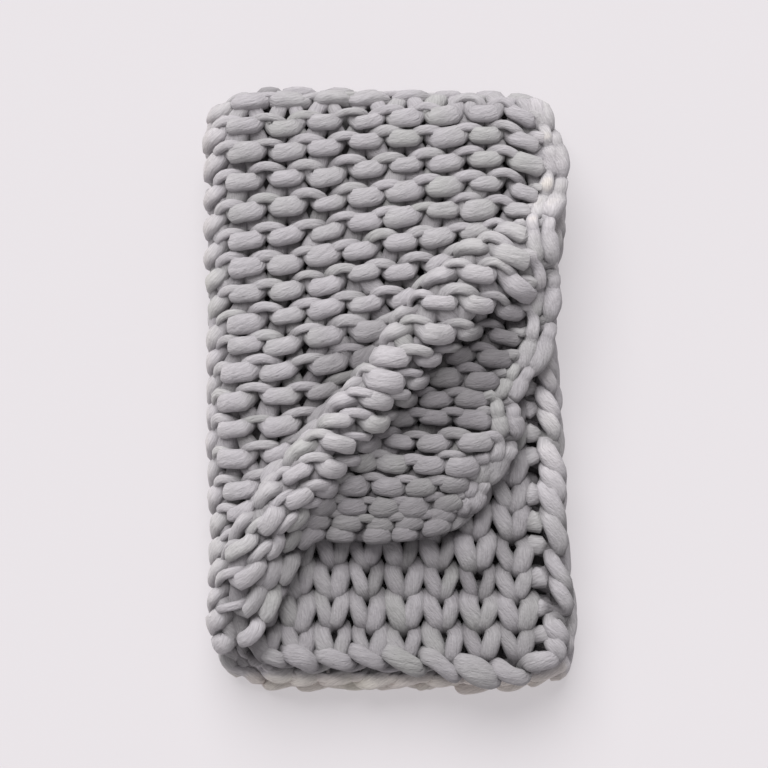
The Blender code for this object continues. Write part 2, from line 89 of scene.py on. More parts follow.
# Courses of the top layer: (row from fold A, y at fold B, y at the free side, x and width of the bend)
COURSES = (
    (0.8, 295.0, 316.0, 0.0, 400.0),
    (2.6, 243.0, 270.0, 0.0, 400.0),
    (4.6, 181.0, 219.0, 0.0, 400.0),
    (6.6, 122.0, 170.0, -5.0, 380.0),
    (8.6, 66.0, 116.0, -15.0, 340.0),
    (10.6, 12.0, 58.0, -35.0, 260.0),
    (12.6, -44.0, 6.0, -68.0, 190.0),
    (14.6, -103.0, -37.0, -98.0, 140.0),
    (16.6, -156.0, -83.0, -118.0, 105.0),
    (18.6, -210.0, -125.0, -125.0, 90.0),
    (21.0, -280.0, -158.0, -108.0, 92.0),
)
COURSE_SAMPLES = (90, 161)   # rows and points of a row in the table that lays them

# The diagonal ridge: line from its upper end, and (run along it, sideways offset of the crest,
# height, bending radius of the cloth over the crest)
RIDGE_START = (164.0, 140.0)
RIDGE_HEADING = math.radians(229.0)
RIDGE = (
    (-60.0, 10.0, 10.0, 60.0),
    (0.0, -16.0, 22.0, 46.0),
    (65.0, -36.0, 32.0, 36.0),
    (130.0, -42.0, 37.0, 26.0),
    (190.0, -40.0, 39.0, 16.0),
    (255.0, -38.0, 40.0, 14.0),
    (320.0, -38.0, 38.0, 14.0),
    (390.0, -36.0, 34.0, 14.0),
    (450.0, -26.0, 27.0, 15.0),
    (505.0, -8.0, 16.0, 18.0),
    (560.0, 10.0, 0.0, 24.0),
)
RIDGE_FOOT = 20.0         # bending radius of the cloth at its feet
RIDGE_STEEPEST = math.radians(72.0)
RIDGE_LEAN = 0.2          # leans this share of its height to the upper left
RIDGE_REACH = 100.0       # the cloth either side is drawn in from up to this far
TINY = 1e-6               # keeps divisions off zero
# Low swells of the top layer: (x, y, height, radius along the ridge, radius across it)
SWELLS = (
    (-40.0, 75.0, 9.0, 170.0, 55.0),
    (72.0, -62.0, 11.0, 60.0, 42.0),
    (118.0, -35.0, 6.0, 60.0, 26.0),
)

# Rounding of the corners in plan: (x side, y side, radius, whose corner it is)
CORNER_PULL = 0.36        # 0 leaves the corners square, 0.5 makes them quarter circles
CORNERS = (
    (-1, 1, 52.0, "every layer"),
    (1, 1, 80.0, "every layer"),
    (-1, -1, 75.0, "every layer"),
    (1, -1, 80.0, "layers 2 to 4"),
    (1, -1, 130.0, "layer 1"),
)


# ---- curves and tables -----------------------------------------------------------------------------
def smoothstep(t):
    """0 up to 0, 1 from 1 on, eased between."""
    t = np.clip(t, 0.0, 1.0)
    return t * t * (3.0 - 2.0 * t)


def eased(value, limits):
    """0 up to the first limit, 1 from the second on, eased between; the first may be the higher one."""
    return smoothstep((value - limits[0]) / (limits[1] - limits[0]))


def close_to(value, middle, reach):
    """1 at the middle, 0 from the reach on either side of it, eased between."""
    return smoothstep(1.0 - np.abs(value - middle) / reach)


def looked_up(table, value_column, at):
    """Value of one column of a table at any key of its first column, on straight lines."""
    places = np.array(table)
    return np.interp(at, places[:, 0], places[:, value_column])


def hermite(t, step, start, end, start_slope, end_slope):
    """Curve between two values with a slope at each; t runs from 0 to 1 over the step."""
    return ((2 * t**3 - 3 * t**2 + 1) * start + (t**3 - 2 * t**2 + t) * step * start_slope
            + (-2 * t**3 + 3 * t**2) * end + (t**3 - t**2) * step * end_slope)


def column(table, value_column, at):
    """Value of one column of a table at any key of its first column, eased between its rows."""
    keys = np.array([row[0] for row in table])
    values = np.array([row[value_column] for row in table])
    at = np.clip(at, keys[0], keys[-1])
    slopes = np.gradient(values, keys)
    i = np.clip(np.searchsorted(keys, at, side="right") - 1, 0, len(keys) - 2)
    step = keys[i + 1] - keys[i]
    t = (at - keys[i]) / step
    return hermite(t, step, values[i], values[i + 1], slopes[i], slopes[i + 1])


# ---- the top layer's own shape ---------------------------------------------------------------------
def fold_b_x(from_a):
    """X of fold B's axis at a share of the way from fold A to the near edge."""
    return FOLD_B_X + column(FOLD_B_SWAY, 1, from_a)


def course_y(row, x):
    """Y of a course of the top layer where it passes x."""
    left, right = column(COURSES, 1, row), column(COURSES, 2, row)
    middle, width = column(COURSES, 3, row), column(COURSES, 4, row)
    return left + (right - left) * smoothstep((x - middle) / width + 0.5)


def ridge_section(across, height, crest):
    """Section of the ridge: sideways place and height of cloth that lay flat at a distance across."""
    bends = crest + RIDGE_FOOT
    slope = np.arccos(np.maximum(1.0 - height / bends, math.cos(RIDGE_STEEPEST)))
    flank = (height - bends * (1.0 - np.cos(slope))) / np.maximum(np.sin(slope), TINY)
    over_crest, to_foot = crest * slope, crest * slope + flank
    half_width = bends * np.sin(slope) + flank * np.cos(slope)
    drawn_in = to_foot + RIDGE_FOOT * slope - half_width
    t = np.minimum(np.abs(across) / RIDGE_REACH, 1.0)
    length = np.abs(across) + drawn_in * (1.5 * t - 0.5 * t**3)
    # crest, flank, foot and the flat beyond, one after another
    turned = np.minimum(length, over_crest) / crest
    down = np.clip(length - over_crest, 0.0, flank)
    left = slope - np.clip((length - to_foot) / RIDGE_FOOT, 0.0, slope)
    flat = np.maximum(length - to_foot - RIDGE_FOOT * slope, 0.0)
    place = (crest * np.sin(turned) + down * np.cos(slope)
             + RIDGE_FOOT * (np.sin(slope) - np.sin(left)) + flat)
    rise = (height - crest * (1.0 - np.cos(turned)) - down * np.sin(slope)
            - RIDGE_FOOT * (np.cos(left) - np.cos(slope)))
    lean = RIDGE_LEAN * rise**2 / np.maximum(height, TINY)
    return np.sign(across) * place - lean, rise


def ruckle(x, y):
    """Where a point of the smooth top layer goes when the ridge and the swells are in it."""
    along = (math.cos(RIDGE_HEADING), math.sin(RIDGE_HEADING))
    dx, dy = x - RIDGE_START[0], y - RIDGE_START[1]
    run = dx * along[0] + dy * along[1]
    crest_at = column(RIDGE, 1, run)
    across = -dx * along[1] + dy * along[0]   # positive on the near right
    place, rise = ridge_section(across - crest_at, np.maximum(column(RIDGE, 2, run), 0.0),
                                column(RIDGE, 3, run))
    place = place + crest_at
    new_x = RIDGE_START[0] + run * along[0] - place * along[1]
    new_y = RIDGE_START[1] + run * along[1] + place * along[0]
    for cx, cy, high, long_radius, short_radius in SWELLS:
        ex, ey = new_x - cx, new_y - cy
        a = (ex * along[0] + ey * along[1]) / long_radius
        b = (-ex * along[1] + ey * along[0]) / short_radius
        rise = rise + high * np.exp(-(a * a + b * b))
    return new_x, new_y, rise


def lay_courses():
    """Table of x for the top layer: rows from fold A by equal lengths of cloth along each course."""
    rows = np.linspace(COURSES[0][0], ROWS_UPPER, COURSE_SAMPLES[0])
    share = np.linspace(0.0, 1.0, COURSE_SAMPLES[1])
    out = np.zeros((len(rows), len(share)))
    for i, row in enumerate(rows):
        start = fold_b_x(row / ROWS_UPPER)
        x = start + share * (column(SIDE_EDGES, 1, row / ROWS_UPPER) - start)
        place = ruckle(x, course_y(np.full_like(x, row), x))
        steps = np.sqrt(sum(np.diff(axis)**2 for axis in place))
        length = np.concatenate([[0.0], np.cumsum(steps)])
        out[i] = np.interp(share, length / length[-1], x)
    return rows, out


COURSE_ROWS, COURSE_X = lay_courses()


def course_x(row, share):
    """X of the top layer at a row and a share of the course's length."""
    last_row, last_share = COURSE_SAMPLES[0] - 1, COURSE_SAMPLES[1] - 1
    r = np.clip((row - COURSE_ROWS[0]) / (COURSE_ROWS[-1] - COURSE_ROWS[0]), 0.0, 1.0) * last_row
    s = np.clip(share, 0.0, 1.0) * last_share
    i, j = np.minimum(r.astype(int), last_row - 1), np.minimum(s.astype(int), last_share - 1)
    fr, fs = r - i, s - j
    return ((COURSE_X[i, j] * (1 - fs) + COURSE_X[i, j + 1] * fs) * (1 - fr)
            + (COURSE_X[i + 1, j] * (1 - fs) + COURSE_X[i + 1, j + 1] * fs) * fr)


# ---- the folded sheet ------------------------------------------------------------------------------
def near_edge_y(u, upper):
    """Y of the near free edge of the layer that (u, upper or inner) lies in."""
    top = smoothstep(0.5 + 0.5 * np.clip(u / NEAR_BLEND, -1.0, 1.0))
    end_upper = NEAR_EDGES["layer_1"] * top + NEAR_EDGES["layer_4"] * (1 - top)
    end_inner = NEAR_EDGES["layer_2"] * top + NEAR_EDGES["layer_3"] * (1 - top)
    return np.where(upper, end_upper, end_inner)


def side_edge_x(u, from_a, upper):
    """X of the free side edge of the layer that (u, upper or inner) lies in."""
    edge = [column(SIDE_EDGES, layer, from_a) for layer in (1, 2, 3, 4)]
    return np.where(u > 0.0, np.where(upper, edge[0], edge[1]), np.where(upper, edge[3], edge[2]))


def round_corners(u, upper, x, y, left_x, side_x, near_y):
    """Draw the plan's square corners in to round ones, each layer's own."""
    on_top = upper & (u > 0.0)
    chosen_by = {"every layer": np.ones_like(on_top), "layers 2 to 4": ~on_top, "layer 1": on_top}
    flap_y = COURSES[-1][2]
    for side, end, radius, whose in CORNERS:
        corner_x = left_x if side < 0 else side_x
        corner_y = FOLD_A_Y + BEND if end > 0 else (flap_y if whose == "layer 1" else near_y)
        a = 1.0 - np.clip((corner_x - x) * side / radius, 0.0, 1.0)
        b = 1.0 - np.clip((corner_y - y) * end / radius, 0.0, 1.0)
        pulled_x = x - side * radius * a * (1.0 - np.sqrt(1.0 - CORNER_PULL * b * b))
        pulled_y = y - end * radius * b * (1.0 - np.sqrt(1.0 - CORNER_PULL * a * a))
        x = np.where(chosen_by[whose], pulled_x, x)
        y = np.where(chosen_by[whose], pulled_y, y)
    return x, y


def surface(u, v):
    """Middle of the folded sheet at (u, v)."""
    u, v = np.asarray(u, float), np.asarray(v, float)
    upper, from_a, on_top = v < 0.0, np.abs(v), np.where(u > 0.0, 1.0, -1.0)
    outward = np.where(upper, 1.0, -1.0)
    # fold A: the section of the sheet halved lengthways
    near_y = near_edge_y(u, upper)
    skew = COURSE_SKEW * smoothstep((np.abs(u) - SKEW_START) / (1.0 - SKEW_START))
    run = from_a * (QUARTER + FOLD_A_Y - near_y) - outward * skew * (1.0 - from_a)
    angle = np.minimum(run / BEND, math.pi / 2.0)
    y = FOLD_A_Y + BEND * np.cos(angle) - np.maximum(run - QUARTER, 0.0)
    offset = outward * BEND * np.sin(angle)
    # fold B: the halved sheet swept round the side fold
    radius = LAYER_PITCH + offset
    arc = radius * math.pi / 2.0
    crowd = INNER_SHIFT * (0.5 - 0.5 * offset / BEND)
    reach = (np.abs(u) - crowd * np.sin(math.pi * np.abs(u)) / math.pi) * (arc + LAP_WIDTH)
    sweep = np.minimum(reach / radius, math.pi / 2.0)
    share = np.maximum(reach - arc, 0.0) / LAP_WIDTH
    side_x, axis_x = side_edge_x(u, from_a, upper), fold_b_x(from_a)
    x = axis_x - radius * np.cos(sweep) + share * (side_x - axis_x)
    z = 2.0 * LAYER_PITCH + on_top * radius * np.sin(sweep)
    # the top layer's courses and ridge
    row = from_a * ROWS_UPPER
    laid_x = np.where(share > 0.0, course_x(row, share), x)
    hold = smoothstep(0.5 + 0.5 * np.sin(sweep) * on_top)
    weight = np.where(upper, hold, 0.0) * smoothstep((run - QUARTER) / COURSE_BLEND)
    x = x + weight * (laid_x - x)
    y = y + weight * (course_y(row, laid_x) - y)
    ruckled_x, ruckled_y, rise = ruckle(x, y)
    x, y, z = x + weight * (ruckled_x - x), y + weight * (ruckled_y - y), z + weight * rise
    x, y = round_corners(u, upper, x, y, axis_x - radius, side_x, near_y)
    return np.stack([x + CENTRE_SHIFT[0], y + CENTRE_SHIFT[1], z - FLOOR_GAP], axis=-1)


def frame_at(u, v, step=2e-3):
    """Point of the middle surface and its unit normal, upward on the top layer."""
    du = surface(np.clip(u + step, -1, 1), v) - surface(np.clip(u - step, -1, 1), v)
    dv = surface(u, np.clip(v + step, -1, 1)) - surface(u, np.clip(v - step, -1, 1))
    normal = np.cross(du, dv)
    return surface(u, v), normal / np.linalg.norm(normal, axis=-1, keepdims=True)


# ---- yarn ------------------------------------------------------------------------------------------
SEGMENTS = 32             # mesh rings in one stitch
SIDES = 14                # mesh points round the yarn
TURN_SEGMENTS = 40        # mesh rings where a strand turns back at the side edge
TAIL_RINGS = 27           # of them, those kept where the yarn ends in the last link
FLATTEN = 0.84            # thickness of the yarn through the cloth, by its width in it
BLUNTNESS = 3.1           # 2 makes the yarn's section an ellipse, more makes it squarer
STITCH_WIDTH = 39.0       # mm in one stitch across, where the length of a path is measured
ROW_HEIGHT = 27.5         # mm in one row, the same
ROWS = ROWS_UPPER + ROWS_INNER
COLUMNS = 18              # knitted stitches across, without the chained side edges
YARN_SEED = 4100          # of every random draw
BAND_ROWS = (8, 16, 24, 32)   # courses, from the first, at which a new band begins
KNOT_POWER = 0.7          # how a path's knots follow the distances between its points
CURVE_SAMPLES = 400       # points of a smooth curve from which its rings are taken
# Where the stitches lie on the sheet: (row k, s of the first column, of the middle of the course and
# of the last column, rows on)
PHASES = (
    (0.0, 0.95, 9.42, 17.90, 0.15),
    (19.2, 0.95, 9.42, 17.90, 0.15),
    (20.4, 0.95, 9.42, 17.90, 0.05),
    (21.4, 0.95, 9.40, 17.90, -0.44),
    (24.0, 0.94, 9.24, 17.86, -0.40),
    (35.5, 0.90, 8.79, 17.74, -1.45),
    (43.0, 0.90, 8.75, 17.70, -0.20),
)
# The rows over which what is done to the outer layers alone sets in
OUTER_ROWS = (ROWS_UPPER, ROWS_UPPER - 2.0)
# The rows droop round fold B: (s, rows towards the near edge), and the rows over which they start to
DROOP = ((7.5, 0.0), (9.0, 0.55), (9.6, 0.60), (10.2, 0.22), (10.6, 0.04), (10.9, 0.0))
DROOP_ROWS = (0.0, 3.0)
# The top layer's rows droop at its free side: (s, rows), and the rows over which they start to
EDGE_DROOP = ((16.6, 0.0), (17.4, 0.12), (18.0, 0.45), (18.5, 0.85), (19.0, 0.9))
EDGE_DROOP_ROWS = (8.0, 12.5)
# The chained edges are drawn in at fold A: (row, stitches)
EDGE_IN = (
    (12.0, 0.0),
    (15.0, 0.06),
    (17.5, 0.14),
    (19.0, 0.32),
    (21.0, 0.42),
    (24.0, 0.34),
    (28.0, 0.10),
    (31.0, 0.0),
)
# Stitches drawn towards fold B on the top layer: (row, stitches), and the s over which they start to
DRAWN = ((3.5, 0.0), (5.5, 0.25), (7.5, 0.42), (10.0, 0.42), (12.2, 0.12), (13.5, 0.0))
DRAWN_PLACES = (15.0, 10.4)
# Round fold A the stitches lie flatter: middle row, rows either side, shares of depth and radius lost
FLATTEST_ROW, FLATTER_ROWS, FOLD_A_FLATTER, FOLD_A_THINNER = 20.35, 1.3, 0.55, 0.16
# Round fold B too: stitches either side, share of the depth lost
FOLD_B_PLACES, FOLD_B_FLATTER = 1.2, 0.30
# The stitches' legs, which lie this deep (mm), are fuller on the outer and on the inner layers (share
# of the radius), and on the outer ones they lie higher between the raised rows (mm)
LEG_DEPTHS = (0.0, -5.0)
LEG_FULLER, INNER_LEG_FULLER, LEG_LIFT = 0.18, 0.07, 1.8
# The far corner at fold B is fuller: mm, middle row and rows either side, middle s and stitches
CORNER_OUT, CORNER_ROWS, CORNER_PLACES = 6.5, (20.1, 1.9), (10.0, 2.2)
# One stitch from a sinker's middle to the next: (stitches across, rows towards the head, mm towards
# the purl face, radius in mm); the head is in the middle of the table
LOOP = (
    (-0.50, -0.82, 8.6, 5.0),
    (-0.38, -0.80, 8.8, 5.0),
    (-0.27, -0.76, 8.2, 5.0),
    (-0.17, -0.70, 5.6, 5.2),
    (-0.12, -0.56, -1.5, 7.4),
    (-0.17, -0.24, -6.0, 8.8),
    (-0.26, 0.06, -6.0, 8.9),
    (-0.33, 0.30, -5.0, 9.0),
    (-0.275, 0.51, 0.4, 9.3),
    (-0.225, 0.59, 6.4, 9.6),
    (-0.12, 0.60, 7.8, 9.4),
    (0.00, 0.60, 8.0, 9.3),
    (0.12, 0.60, 7.8, 9.4),
    (0.225, 0.58, 6.4, 9.6),
    (0.275, 0.49, 0.4, 9.3),
    (0.33, 0.28, -5.0, 9.0),
    (0.26, 0.04, -6.0, 8.9),
    (0.18, -0.24, -6.0, 8.6),
    (0.11, -0.48, -4.6, 7.6),
    (0.13, -0.62, 0.4, 5.4),
    (0.22, -0.74, 5.2, 5.0),
    (0.35, -0.80, 7.8, 5.0),
)
# One link of the chained side edges, between two courses: (share of the edge's width, rows past the
# first course's sinker, mm towards the purl face, radius in mm)
LINK = (
    (0.14, 0.03, 0.0, 5.6),
    (0.32, 0.08, -5.5, 6.6),
    (0.62, 0.20, -7.0, 8.0),
    (0.88, 0.30, -3.5, 7.2),
    (0.96, 0.10, 4.0, 6.8),
    (0.94, -0.20, 1.5, 7.4),
    (0.96, -0.52, 1.0, 9.4),
    (0.98, -0.88, 0.5, 10.0),
    (0.96, -1.26, 0.5, 9.2),
    (0.90, -1.56, -2.5, 7.2),
    (0.66, -1.64, -3.0, 6.0),
    (0.48, -1.56, -2.5, 7.2),
    (0.41, -1.26, 0.5, 9.2),
    (0.39, -0.88, 0.5, 10.0),
    (0.41, -0.52, 1.0, 9.4),
    (0.40, -0.22, 1.0, 7.4),
    (0.36, 0.04, 6.0, 7.0),
    (0.36, 0.32, 5.0, 6.4),
    (0.28, 0.64, 2.0, 6.0),
    (0.13, 0.90, 5.0, 5.6),
)
# The same on the second layer, whose knit face shows
LINK_KNIT = (
    (0.06, 0.02, -3.0, 7.5),
    (0.20, 0.02, -7.0, 12.2),
    (0.38, 0.08, -2.0, 7.5),
    (0.66, 0.20, 3.0, 6.4),
    (0.92, 0.18, -2.0, 7.0),
    (0.98, -0.08, -5.5, 8.8),
    (0.86, -0.40, -7.5, 9.6),
    (0.70, -0.74, -6.5, 9.0),
    (0.66, -1.00, 0.0, 7.2),
    (0.82, -1.25, 4.0, 6.4),
    (0.92, -1.50, 2.0, 6.4),
    (0.80, -1.74, -1.0, 6.8),
    (0.62, -1.72, -4.5, 8.2),
    (0.70, -1.42, -7.5, 9.6),
    (0.86, -1.08, -7.5, 9.6),
    (1.00, -0.78, -5.0, 8.6),
    (1.04, -0.45, 0.5, 7.2),
    (1.02, -0.05, 3.0, 6.6),
    (0.92, 0.40, 4.0, 6.4),
    (0.66, 0.70, 3.0, 6.4),
    (0.40, 0.86, -1.0, 7.2),
    (0.20, 0.98, -7.0, 12.2),
    (0.06, 0.98, -3.0, 7.5),
)
LINK_STRAY = (0.05, 0.05, 0.10)   # how far single links stray: share, rows, share of the radius

# One turn of the strand that binds the near edges: (stitches across, rows past the edge's line,
# mm towards the face that shows, radius by the table below)
COIL = (
    (0.00, -0.26, 1.0, 0.80),
    (0.14, -0.20, 6.0, 0.92),
    (0.42, -0.02, 8.0, 1.00),
    (0.70, 0.16, 6.0, 0.92),
    (0.88, 0.22, 0.0, 0.78),
    (0.93, 0.06, -5.0, 0.74),
    (0.97, -0.14, -5.0, 0.74),
)
COIL_SEGMENTS = 24
# The bound edges: (s, row of the edge's line, radius, share of the coil's slant, face it shows:
# 1 purl, -1 knit, mm it lies deeper)
CAST_OFF = (
    (0.0, 0.38, 8.0, 0.5, -1.0, 0.0),
    (9.0, 0.38, 8.0, 0.5, -1.0, 0.0),
    (10.5, 0.50, 6.5, 0.3, 1.0, 9.0),
    (19.0, 0.50, 6.5, 0.3, 1.0, 9.0),
)
CAST_ON = (
    (0.0, 42.60, 9.0, 0.5, 1.0, 0.0),
    (9.0, 42.60, 9.0, 0.5, 1.0, 0.0),
    (10.5, 42.25, 10.0, 0.7, -1.0, -3.0),
    (14.5, 42.25, 11.0, 1.0, -1.0, -4.0),
    (15.8, 42.60, 12.0, 1.2, -1.0, -4.0),
    (17.0, 42.88, 12.0, 1.2, -1.0, -4.0),
    (18.0, 42.70, 11.0, 1.0, -1.0, -3.0),
    (19.0, 42.30, 10.0, 0.8, -1.0, -2.0),
)
# How far single stitches stray, and the shift of their random values along the yarn: stitches across,
# rows along, share of the depth, share of the radius
STRAY = ((0.044, 0.0), (0.085, 0.3), (0.20, 0.5), (0.145, 0.25))
STRAYS_A_STITCH = 2       # random values in one stitch
NOISE_LIMIT = 1.5         # random values are cut off beyond this many standard deviations
TWIST_LENGTH = -160.0     # mm of yarn in one turn of its strands
STRANDS = ((2, 0.030, 0.0), (5, 0.016, 1.0))   # (lobes, share of the radius, phase)
# Random lumps of the yarn: (lobes, share of the radius, waves in radians per mm)
LUMPS = (
    (0, 0.030, 0.10),
    (0, 0.022, 0.23),
    (1, 0.020, 0.05),
    (1, 0.022, 0.19),
    (2, 0.026, 0.13),
    (3, 0.020, 0.08),
    (3, 0.014, 0.27),
    (4, 0.012, 0.16),
)
LUMP_DRIFT = 60.0         # mm of yarn over which the lumps come and go
FLOOR_SQUASH = 3.0        # mm over the floor in which the yarn is pressed flat
EDGE_PROBE = 0.98         # share of the way out from which the way past the sheet's edge is taken

# Tones of the yarn over the sheet, which carry painted light and shade: 0 darkest, 1 palest. The purl
# face keeps the yarn's own tone; the knit face is darker by painted shade
PURL_TONE, KNIT_PAINTED_SHADE = 0.68, 0.485
# Painted shade in the valley of the top layer's turned-up corner: tone by row, the rows and stitches over
# which it sets in
VALLEY_PAINTED_SHADE = (
    (2.4, 0.26),
    (3.3, 0.30),
    (4.2, 0.44),
    (5.4, 0.42),
    (6.2, 0.20),
    (8.0, 0.20),
    (9.5, 0.13),
)
VALLEY_ROWS, VALLEY_PLACES = (12.6, 9.8), (11.5, 14.0)
# Painted light: the ridge is paler by its height over the floor
CREST_PAINTED_LIGHT, CREST_HEIGHTS = 0.76, (97.0, 114.0)   # the ridge, by mm over the floor
# Painted light: the yarn is paler towards both sides
SIDE_PAINTED_LIGHT, SIDE_PLACES = 0.90, (150.0, 190.0)     # both sides, by mm from the middle
# Painted light on the chained edge, paler over most of its rows and a little darker, by painted shade, at
# both ends: tone by row, the stitches over which it sets in
CHAIN_PAINTED_LIGHT_AND_SHADE = (
    (8.0, 0.64),
    (12.0, 0.84),
    (15.0, 0.965),
    (18.0, 0.96),
    (20.0, 0.84),
    (22.0, 0.86),
    (34.0, 0.88),
    (37.0, 0.64),
    (43.0, 0.62),
)
CHAIN_PLACES = (18.0, 18.5)
# Painted light on the lower layers at their near edge, paler low down: tone, mm over the floor, y in mm
LOW_PAINTED_LIGHT, LOW_HEIGHTS, LOW_PLACES = 0.955, (92.0, 48.0), (-272.0, -306.0)
# Painted shade in the creases where strands meet: tone taken off, by mm from the middle of the cloth on
# the purl and on the knit face, and the rows either side of fold A's flattest in which none is painted
CREASE_PAINTED_SHADE, CREASE_HEIGHTS, KNIT_CREASE_HEIGHTS = 0.46, (0.0, 13.0), (6.5, 14.5)
CREASE_FREE_ROWS = 2.2


def run_lengths(points):
    """Length along the points up to each of them."""
    return np.concatenate([[0.0], np.cumsum(np.linalg.norm(np.diff(points, axis=0), axis=1))])


def rings_between(points, first, last, count, last_ring):
    """Rings at even lengths on a smooth curve through points of (s, k, depth, radius), from one of the
    points to another, with a ring at the latter or not."""
    size = np.array([STITCH_WIDTH, ROW_HEIGHT, 1.0, 0.0])
    steps = np.linalg.norm(np.diff(points * size, axis=0), axis=1)
    knots = np.concatenate([[0.0], np.cumsum(steps**KNOT_POWER)])
    slopes = np.gradient(points, knots, axis=0)
    fine = np.linspace(knots[first], knots[last], CURVE_SAMPLES)
    i = np.clip(np.searchsorted(knots, fine, side="right") - 1, 0, len(knots) - 2)
    gap = (knots[i + 1] - knots[i])[:, None]
    t = (fine - knots[i])[:, None] / gap
    curve = hermite(t, gap, points[i], points[i + 1], slopes[i], slopes[i + 1])
    length = run_lengths(curve * size)
    even = np.linspace(0.0, length[-1], count, endpoint=last_ring)
    return np.stack([np.interp(even, length, curve[:, c]) for c in range(4)], axis=1)


def repeating_rings(table, count):
    """Rings of one stitch of a table that goes on with the next stitch."""
    points = np.array(table)
    stitch = np.array([1.0, 0.0, 0.0, 0.0])
    three = np.concatenate([points - stitch, points, points + stitch])
    return rings_between(three, len(points), 2 * len(points), count, last_ring=False)


LOOP_RINGS = repeating_rings(LOOP, SEGMENTS)
COIL_RINGS = repeating_rings(COIL, COIL_SEGMENTS)


def eased_noise(rng, at):
    """Random values at whole numbers, eased between."""
    first = int(np.floor(at.min()))
    nodes = rng.normal(0.0, 1.0, int(np.ceil(at.max())) - first + 2)
    nodes = np.clip(nodes, -NOISE_LIMIT, NOISE_LIMIT)
    i = np.floor(at).astype(int) - first
    f = smoothstep(at - np.floor(at))
    return nodes[i] * (1 - f) + nodes[i + 1] * f


def strays(count, rng, per_stitch):
    """Slow random wandering of s, k, depth and radius along a run of stitches."""
    along = STRAYS_A_STITCH * np.arange(count * per_stitch) / per_stitch
    return [size * eased_noise(rng, along + shift) for size, shift in STRAY]


def course(row, rng):
    """One course of the sheet: columns s (stitches), k (rows), depth and radius (mm) of its strand."""
    rings = np.tile(LOOP_RINGS, (COLUMNS, 1))
    number = np.repeat(np.arange(COLUMNS), SEGMENTS)
    stray = strays(COLUMNS, rng, SEGMENTS)
    k = row - rings[:, 1]
    first, middle, last, rows_on = (looked_up(PHASES, c, k) for c in range(1, 5))
    across = 2.0 * (number + rings[:, 0]) / (COLUMNS - 1) - 1.0
    s = middle + across * np.where(across < 0.0, middle - first, last - middle) + stray[0]
    k = k + rows_on + stray[1]
    outer = eased(k, OUTER_ROWS)
    k = k - outer * looked_up(DROOP, 1, s) * eased(k, DROOP_ROWS)
    k = k - outer * looked_up(EDGE_DROOP, 1, s) * eased(k, EDGE_DROOP_ROWS)
    s = s - outer * looked_up(DRAWN, 1, k) * eased(s, DRAWN_PLACES) * (s > STITCHES / 2)
    folded_a = close_to(k, FLATTEST_ROW, FLATTER_ROWS)
    folded_b = close_to(s, STITCHES / 2, FOLD_B_PLACES)
    leg = eased(rings[:, 2], LEG_DEPTHS)
    fuller = leg * (INNER_LEG_FULLER + (LEG_FULLER - INNER_LEG_FULLER) * outer)
    depth = rings[:, 2] * (1.0 + stray[2])
    depth = depth * (1.0 - FOLD_A_FLATTER * folded_a) * (1.0 - FOLD_B_FLATTER * folded_b)
    depth = depth + LEG_LIFT * leg * outer
    depth = depth + CORNER_OUT * (close_to(k, *CORNER_ROWS) * close_to(s, *CORNER_PLACES))
    radius = rings[:, 3] * (1.0 + stray[3]) * (1.0 - FOLD_A_THINNER * folded_a) * (1.0 + fuller)
    return np.stack([s, k, depth, radius], axis=1)


def turn(before, after, right, rng):
    """The strand from the end of one course to the start of the next: a link of the chained edge."""
    drawn_in = looked_up(EDGE_IN, 1, before[1])
    edge = STITCHES - drawn_in if right else drawn_in
    share, rows, size = np.array(LINK_STRAY) * rng.normal(0.0, 1.0, 3)
    table = np.array(LINK_KNIT if right and before[1] > ROWS_UPPER else LINK)
    s = before[0] + (edge - before[0]) * (table[:, 0] + share)
    k = before[1] + (after[1] - before[1]) * (table[:, 1] + rows)
    link = np.stack([s, k, table[:, 2], table[:, 3] * (1.0 + size)], axis=1)
    points = np.concatenate([before[None], link, after[None]])
    return rings_between(points, 0, len(points) - 1, TURN_SEGMENTS, last_ring=True)[1:-1]


def bound_edge(table, outward, rng):
    """The strand wound along a near edge; outward is the sign of the rows that lead past the edge."""
    rings = np.tile(COIL_RINGS, (STITCHES, 1))
    stray = strays(STITCHES, rng, COIL_SEGMENTS)
    s = np.repeat(np.arange(STITCHES), COIL_SEGMENTS) + rings[:, 0]
    line, size, slant, shown, deeper = (looked_up(table, c, s) for c in range(1, 6))
    k = line + outward * slant * rings[:, 1] + stray[1]
    depth = shown * (rings[:, 2] - deeper)
    radius = rings[:, 3] * size * (1.0 + stray[3])
    return np.stack([s + stray[0], k, depth, radius], axis=1)


def strand(rows, seed):
    """Path of the yarn back and forth through the courses, and the ring at which each begins. Odd
    courses run from right to left, and the yarn ends in a link at the right."""
    pieces, starts = [], []
    for row in rows:
        rng = np.random.default_rng(seed + row)
        path = course(row, rng)
        if row % 2:
            path = path[::-1]
        if pieces:
            pieces.append(turn(pieces[-1][-1], path[0], bool(row % 2), rng))
        starts.append(sum(len(piece) for piece in pieces))
        pieces.append(path)
    a_row_on = path[-1] + [0.0, 1.0, 0.0, 0.0]
    pieces.append(turn(path[-1], a_row_on, True, rng)[:TAIL_RINGS])
    return np.concatenate(pieces), starts


def unit(a):
    """The same directions, one long."""
    return a / np.maximum(np.linalg.norm(a, axis=-1, keepdims=True), TINY)


def cloth(s, k):
    """Point and normal of the folded sheet at stitch s and row k, carried straight on past its edges."""
    u = 2.0 * s / STITCHES - 1.0
    v = np.where(k < ROWS_UPPER, k / ROWS_UPPER - 1.0, (k - ROWS_UPPER) / ROWS_INNER)
    in_u, in_v = np.clip(u, -1.0, 1.0), np.clip(v, -1.0, 1.0)
    point, normal = frame_at(in_u, in_v)
    for past, inner in (((u - in_u) * HALF_WIDTH, surface(in_u * EDGE_PROBE, in_v)),
                        ((v - in_v) * HALF_LENGTH, surface(in_u, in_v * EDGE_PROBE))):
        point = point + unit(point - inner) * np.abs(past)[:, None]
    return point, normal


